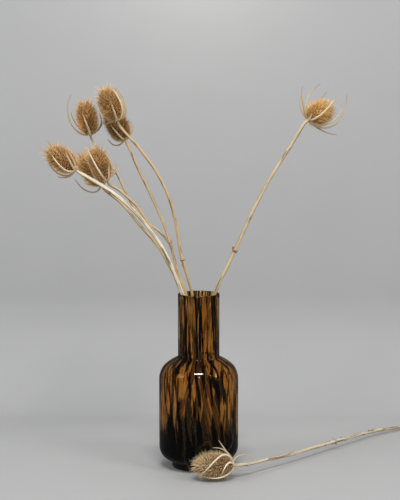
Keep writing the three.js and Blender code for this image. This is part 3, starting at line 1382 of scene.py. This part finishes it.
@dataclass
class Whorl:
    """The collar under a seed head and the long, curling, prickly bracts that grow from it."""

    teasel: Teasel
    collar_radius: float = 4.6
    collar_outline: Rings = (
        (2.6, -3.2), (3.4, -2.9), (3.9, -2.0), (4.2, -1.0), (4.7, -0.5), (4.6, 0.1), (3.6, 0.35),
    )
    root_inset: float = 2.0
    collar_height: float = 3.0
    half_width: float = 1.75
    steps: int = 40
    waver: float = 4.0
    drift: float = 3.0
    teeth_pitch: float = 6.5
    teeth_sizes: tuple[float, float] = (0.5, 0.9)
    # painted light: bracts turned within this angle of the front are drawn lit
    painted_lit_turn: float = 55.0

    def collar(self) -> Piece:
        """Turn the collar, with a soft bead round its top.

        Returns:
            The collar.
        """
        rings = [(radius * MM, height * MM) for radius, height in self.collar_outline]
        collar = turned(f"collar_{self.teasel.number}", rings, 20)
        points = points_of(collar.data)
        x, _, z = points.T
        set_points(collar.data, self.teasel.placed(points))
        # painted shade: a tint of 0.2 gives the collar under the head mostly the painted shade tone
        keep_rows(collar.data, "grain", np.c_[x * 200, x * 0 + 0.2, z * 30])
        dress(collar, self.teasel.bract_look, 50)
        return collar

    def route(self, bract: Bract, rng: np.random.Generator) -> Route:
        """Give a bract's middle line.

        Args:
            bract: its sizes.
            rng: gives its slight waviness.

        Returns:
            The route, with its side round the head.
        """
        turn, length, start, end, swirl, ease = bract
        middles = (np.arange(self.steps) + 0.5) / self.steps
        waver = np.sin(middles * rng.uniform(5, 9) + rng.uniform(0, 6)) * self.waver * middles
        lean = np.radians(start + (end - start) * middles**ease + waver)
        stride = length / self.steps
        out = self.collar_radius - self.root_inset + np.r_[0, np.cumsum(np.sin(lean))] * stride
        along = -self.collar_height / 2 + np.r_[0, np.cumsum(np.cos(lean))] * stride
        wander = np.sin(np.linspace(0, rng.uniform(3, 6), self.steps + 1))
        drift = wander * rng.uniform(-self.drift, self.drift)
        a = np.radians(turn + swirl * np.linspace(0, 1, self.steps + 1) + drift)
        local = np.c_[out * np.sin(a), -out * np.cos(a), along] * MM
        side = np.array([math.cos(a[0]), math.sin(a[0]), 0.0]) @ np.array(self.teasel.axes())
        return Route(self.teasel.placed(local), side, 60)

    def blade(self, patterns: Patterns, route: Route, tint: float) -> Piece:
        """Lay one blade along its route.

        Args:
            patterns: the forms to copy.
            route: the blade's middle line.
            tint: how much painted light it gets, from 0 to 1.

        Returns:
            The blade.
        """
        made = lay("blade", patterns.blade, route, lambda share: np.full(len(share), self.half_width * MM))
        x, _, z = patterns.blade.points.T
        spread = x / np.array([blade_width(height) for height in z])
        keep_rows(made.data, "grain", np.c_[spread, np.full(len(z), tint), z])
        dress(made, self.teasel.bract_look, 70)
        return made

    def teeth(self, patterns: Patterns, route: Route, rng: np.random.Generator, tint: float) -> Piece:
        """Set small prickles along both edges and the keel of a blade.

        Args:
            patterns: the forms to copy.
            route: the blade's middle line.
            rng: gives their places and sizes.
            tint: how much painted light the blade gets.

        Returns:
            The prickles.
        """
        count = max(4, int(route.length / MM / self.teeth_pitch))
        share = np.linspace(0.08, 0.8, count) + rng.uniform(-0.03, 0.03, count)
        place, side, back, ahead = route.at(share)
        hand = np.resize((-1.0, 1.0, 0.0), count)[:, None]
        keel = 1 - np.abs(hand)
        width = np.array([blade_width(s) for s in share])[:, None] * self.half_width * MM
        out = unit(side * hand - back * keel + ahead * 0.4)
        across = unit(np.cross(out, ahead))
        size = rng.uniform(*self.teeth_sizes, (count, 1))
        root = place + side * hand * width * 0.8 - back * keel * width * 0.35
        places = frames(root, across * size, np.cross(out, across) * size, out * size)

        def grain(along: Rows) -> Rows:
            """Give the teeth the tone of the blade's edge.

            Args:
                along: the way up a tooth, at each of its points.

            Returns:
                The kept vectors of all teeth.
            """
            rows = np.empty((count, len(along), 3))
            rows[..., 0], rows[..., 1], rows[..., 2] = 0.8, tint, share[:, None]
            return rows

        made = patterns.prickle.copies("teeth", places, grain)
        dress(made, self.teasel.bract_look)
        return made

    def build(self, patterns: Patterns) -> None:
        """Model the whorl and hand it over.

        Args:
            patterns: the forms to copy.
        """
        number = self.teasel.number
        rng = np.random.default_rng(300 + number)
        parts = [self.collar()]
        for bract in self.teasel.bracts:
            route = self.route(bract, rng)
            # painted light: bracts turned to the front get a high tint and are drawn lit, the others a low
            # tint and painted shade
            facing = min(abs(bract[0]), abs(bract[0] + bract[4])) < self.painted_lit_turn
            tint = rng.uniform(0.8, 1.0) if facing else rng.uniform(0.1, 0.6)
            parts.append(self.blade(patterns, route, tint))
            parts.append(self.teeth(patterns, route, rng, tint))
        whorl = join(f"teasel_bracts_{number}", parts)
        hand_over(whorl, "dry_bract", f"bracts_{number}")


TEASELS = (
    Teasel(
        number=1,
        stem=(
            (50, 6, 24), (14, -3, 152), (-27, -9, 298), (-41, -18, 337), (-60, -28, 379),
            (-87, -38, 421), (-119, -46, 456), (-156, -52, 485), (-204, -57, 515),
        ),
        stem_radius=3.2,
        tip=(-246, -68, 548),
        radius=17.5,
        bracts=(
            (1, 56, 76, 33, 30, 0.3), (34, 52, 74, 35, 2, 0.3), (-27, 69, 67, -83, 20, 1.7),
            (-102, 69, 140, -49, -13, 0.5), (-116, 37, 117, 23, 0, 0.8), (150, 44, 100, -5, 0, 0.8),
            (-160, 40, 100, 5, 0, 0.8),
        ),
        stem_look=StemLook.PALE,
    ),
    Teasel(
        number=2,
        stem=(
            (44, 17, 22), (8, 8, 160), (-30, 1, 301), (-50, 4, 346), (-68, 6, 378),
            (-102, 8, 418), (-132, 8, 454), (-166, 6, 486),
        ),
        stem_radius=2.4,
        tip=(-199, 20, 536),
        radius=17.5,
        bracts=(
            (-128, 72, 145, -2, 1, 0.5), (-118, 31, 72, 42, 5, 0.3), (-4, 61, 75, -45, 15, 1),
            (160, 44, 100, 0, 0, 0.8), (75, 38, 95, 0, 0, 0.8),
        ),
    ),
    Teasel(
        number=3,
        stem=(
            (34, 26, 21), (2, 15, 160), (-25, 6, 301), (-47, -3, 349), (-65, -10, 385),
            (-84, -14, 419), (-103, -16, 449), (-120, -18, 466), (-137, -19, 480), (-154, -20, 496),
        ),
        stem_radius=2.2,
        tip=(-175, -30, 548),
        radius=15,
        bracts=(
            (-11, 75, 89, -8, -14, 0.3), (79, 60, 74, -29, 0, 0.6), (33, 37, 74, 30, 2, 0.3),
            (95, 37, 73, -3, -1, 1.4), (105, 31, 74, 67, -1, 0.3), (155, 48, 100, -10, 0, 0.8),
        ),
        bract_look=BractLook.BLEACHED,
    ),
    Teasel(
        number=4,
        stem=(
            (-51, 25, 384), (-68, 26, 404), (-82, 27, 414), (-108, 27, 441), (-126, 28, 473),
            (-140, 29, 502), (-158, 29, 527), (-185, 30, 571),
        ),
        stem_radius=2.0,
        tip=(-195, 22, 625),
        radius=15.5,
        bracts=(
            (2, 52, 75, 14, -10, 0.4), (-93, 91, 113, -38, 0, 0.5), (-127, 55, 76, 8, -1, 0.8),
            (92, 30, 74, 27, 0, 1.2), (108, 44, 86, -17, 1, 0.9), (62, 25, 75, 40, -1, 0.3),
            (165, 46, 95, -5, 0, 0.8),
        ),
    ),
    Teasel(
        number=5,
        stem=(
            (3, 44, 20), (-5, 31, 160), (-12, 20, 300), (-18, 19, 322), (-32, 18, 372),
            (-38, 17, 412), (-49, 16, 458), (-67, 16, 498), (-98, 15, 543), (-122, 14, 570), (-139, 14, 595),
        ),
        stem_radius=2.6,
        joint=(-27, 18, 354),
        tip=(-159, 3, 647),
        radius=17.5,
        bracts=(
            (5, 47, 75, 4, 3, 0.7), (109, 66, 70, -52, -1, 1.1), (67, 72, 77, -40, -17, 0.7),
            (103, 27, 87, -13, -2, 1.8), (-70, 22, 80, 88, 0, 1), (-90, 14, 71, 93, -2, 1.3),
            (-103, 51, 90, -23, -7, 0.6), (165, 50, 95, -10, 0, 0.8),
        ),
    ),
    Teasel(
        number=6,
        stem=(
            (24, 38, 20), (0, 26, 160), (-23, 13, 301), (-36, 17, 335), (-48, 24, 379),
            (-57, 28, 408), (-84, 38, 469), (-105, 44, 512), (-128, 52, 562),
        ),
        stem_radius=2.4,
        joint=(-50, 25, 384),
        tip=(-156, 64, 615),
        radius=17.5,
        bracts=(
            (-95, 51, 73, -22, -9, 0.7), (-25, 39, 74, 11, 2, 0.6), (84, 38, 74, -59, 3, 2.2),
            (-121, 43, 121, 4, -2, 0.9), (-79, 25, 87, 1, 0, 1.1), (150, 44, 95, 0, 0, 0.8),
        ),
        head_look=HeadLook.BROWN,
    ),
    Teasel(
        number=7,
        stem=(
            (-50, -16, 24), (-12, -13, 160), (28, -9, 303), (50, -8, 350), (62, -7, 375),
            (89, -3, 435), (119, 2, 493), (154, 6, 548), (187, 10, 595),
        ),
        stem_radius=2.9,
        joint=(61, -7, 374),
        stub=True,
        tip=(225, 31, 619),
        radius=19,
        bracts=(
            (-86, 58, 124, 48, -1, 0.3), (-102, 44, 109, 40, 0, 0.7), (-121, 89, 74, 3, -2, 0.7),
            (180, 102, 73, 10, 23, 0.5), (19, 67, 91, -5, -35, 0.6), (88, 116, 82, -70, 18, 0.8),
            (73, 86, 99, -40, 4, 0.5), (98, 58, 74, 42, 0, 0.6), (-15, 28, 90, 102, -3, 0.8),
        ),
        stem_look=StemLook.AGED,
        tuft=0.3,
    ),
    Teasel(
        number=8,
        stem=(
            (402, 258, 3), (385, 242, 6), (333, 200, 10), (285, 147, 13), (244, 103, 14),
            (205, 60, 15), (154, 4, 16), (121, -28, 18), (86, -63, 20), (56, -84, 23),
        ),
        stem_radius=2.75,
        joint=(244, 103, 14),
        tip=(-10, -99, 26),
        radius=20.5,
        bracts=(
            (104, 79, 83, 2, -113, 0.5), (90, 48, 74, 50, 0, 0.3), (102, 43, 74, 223, 2, 0.6),
            (42, 56, 73, 50, -42, 0.3), (-42, 60, 74, -14, 2, 0.7), (116, 49, 80, -13, 0, 1.2),
        ),
        stem_look=StemLook.GREY,
        head_look=HeadLook.BLEACHED,
        bract_look=BractLook.BLEACHED,
        shaggy=1.8,
        prickly=1.8,
        tuft=0.3,
    ),
)
FORKED = 6
BRANCH = 4


@dataclass
class Arrangement:
    """The eight teasels: seven in the vase, on six stems, and one lying on the table."""

    teasels: tuple[Teasel, ...] = TEASELS

    def build_stems(self, patterns: Patterns) -> None:
        """Model every stem, with the branch joined to the stem that it forks from.

        Args:
            patterns: the forms to copy.
        """
        parts = {teasel.number: Stem(teasel).build(patterns) for teasel in self.teasels}
        parts[FORKED] += parts.pop(BRANCH)
        for number, pieces in parts.items():
            forked = number == FORKED
            name = "teasel_forked_stem" if forked else f"teasel_stem_{number}"
            stem = join(name, pieces)
            hand_over(stem, "dry_stem", "forked_stem" if forked else f"stem_{number}")

    def build(self, patterns: Patterns) -> None:
        """Model every stem, head and whorl.

        Args:
            patterns: the forms to copy.
        """
        self.build_stems(patterns)
        for teasel in self.teasels:
            SeedHead(teasel).build(patterns)
            Whorl(teasel).build(patterns)


# ---- the studio ----


@dataclass(frozen=True)
class Lamp:
    """A soft rectangular lamp, which the glass mirrors if it is glossy."""

    place: Point
    aim: Point
    size: tuple[float, float]
    watts: float
    colour: Colour
    glossy: bool = False

    def hang(self) -> None:
        """Hang the lamp in the room."""
        data = bpy.data.lights.new("soft lamp", "AREA")
        data.shape, data.size, data.size_y = "RECTANGLE", *self.size
        data.energy, data.color = self.watts, self.colour
        lamp = bpy.data.objects.new("soft lamp", data)
        toward = Vector(self.aim) - Vector(self.place)
        turn = toward.to_track_quat("-Z", "Y").to_matrix().to_4x4()
        lamp.matrix_world = Matrix.Translation(self.place) @ turn
        lamp.visible_glossy = self.glossy
        bpy.context.collection.objects.link(lamp)


WARM_WHITE = (1.0, 0.985, 0.96)
LAMPS = (
    Lamp((0.0, -1.33, 2.33), (-0.02, -0.3, 0.0), (0.9, 0.45), 33, WARM_WHITE, glossy=True),
    Lamp((1.7, -1.2, 1.7), (0.0, 0.1, 0.35), (0.8, 0.8), 16, (1.0, 0.99, 0.97)),
    Lamp((-1.8, -0.9, 1.5), (0.0, 0.1, 0.35), (0.8, 0.8), 12, (0.98, 0.99, 1.0)),
    Lamp((0.0, 0.46, 1.08), (0.0, -0.04, 0.19), (0.24, 0.05), 0.9, WARM_WHITE, glossy=True),
    Lamp((0.05, -1.60, 1.35), (0.0, -0.06, 0.17), (0.22, 0.05), 0.6, WARM_WHITE, glossy=True),
)


@dataclass
class Studio:
    """A pale floor that curves up into a wall behind, soft lamps, and the camera."""

    half_width: float = 2.2
    front: float = -2.6
    bend_start: float = 0.34
    bend_radius: float = 0.22
    wall_height: float = 1.9
    camera_place: Point = (0.0022, -2.197, 0.617)
    camera_tilt: float = 6.3
    camera_lens: float = 117.0
    room_light: float = 0.42
    mirrored_room_light: float = 0.075
    lamps: tuple[Lamp, ...] = LAMPS

    def cove(self) -> None:
        """Draw the floor out to its back edge and up into the wall."""
        start_fresh()
        bpy.ops.mesh.primitive_plane_add(size=1)
        cove = bpy.context.object
        cove.name = "studio_cove"
        depth = self.bend_start - self.front
        bpy.ops.transform.resize(value=(self.half_width * 2, depth, 1))
        bpy.ops.transform.translate(value=(0, (self.bend_start + self.front) / 2, 0))
        bpy.ops.object.transform_apply(location=True, rotation=True, scale=True)
        select_points(cove, points_of(cove.data)[:, 1] > self.bend_start - 0.01)
        bpy.ops.object.mode_set(mode="EDIT")
        place = np.array([0.0, 0.0])
        for a in np.radians(np.linspace(0, 90, 17)[1:]):
            ahead = np.array([math.sin(a), 1 - math.cos(a)]) * self.bend_radius
            step = ahead - place
            bpy.ops.mesh.extrude_region_move(TRANSFORM_OT_translate={"value": (0, step[0], step[1])})
            place = ahead
        bpy.ops.mesh.extrude_region_move(TRANSFORM_OT_translate={"value": (0, 0, self.wall_height)})
        bpy.ops.object.mode_set(mode="OBJECT")
        dress(cove, OtherLook.BOARD, 60)
        cove.visible_glossy = False

    def light(self) -> None:
        """Hang the lamps and fill the room with pale light, which the glass mirrors only faintly."""
        for lamp in self.lamps:
            lamp.hang()
        world = bpy.data.worlds.new("pale room")
        world.use_nodes = True
        tree = world.node_tree
        backdrop = tree.nodes["Background"]
        backdrop.inputs["Color"].default_value = (0.92, 0.95, 1.0, 1.0)
        strength = tree.nodes.new("ShaderNodeMapRange")
        strength.inputs["To Min"].default_value = self.room_light
        strength.inputs["To Max"].default_value = self.mirrored_room_light
        glossy_ray = tree.nodes.new("ShaderNodeLightPath").outputs["Is Glossy Ray"]
        tree.links.new(glossy_ray, strength.inputs["Value"])
        tree.links.new(strength.outputs[0], backdrop.inputs["Strength"])
        bpy.context.scene.world = world
        bpy.context.scene.view_settings.view_transform = "Standard"

    def camera(self) -> None:
        """Set up the camera."""
        data = bpy.data.cameras.new("camera")
        data.sensor_fit, data.sensor_width, data.lens = "HORIZONTAL", 36.0, self.camera_lens
        camera = bpy.data.objects.new("camera", data)
        camera.location = self.camera_place
        camera.rotation_euler = (math.radians(90 - self.camera_tilt), 0, 0)
        bpy.context.collection.objects.link(camera)
        bpy.context.scene.camera = camera

    def build(self) -> None:
        """Set the stage."""
        self.camera()
        self.cove()
        self.light()


def main() -> None:
    """Build the studio, the vase and the teasels."""
    logging.basicConfig(level=logging.INFO, format="%(name)s %(message)s")
    Studio().build()
    patterns = Patterns()
    BottleVase().build()
    Arrangement().build(patterns)


if __name__ == "__main__":
    main()
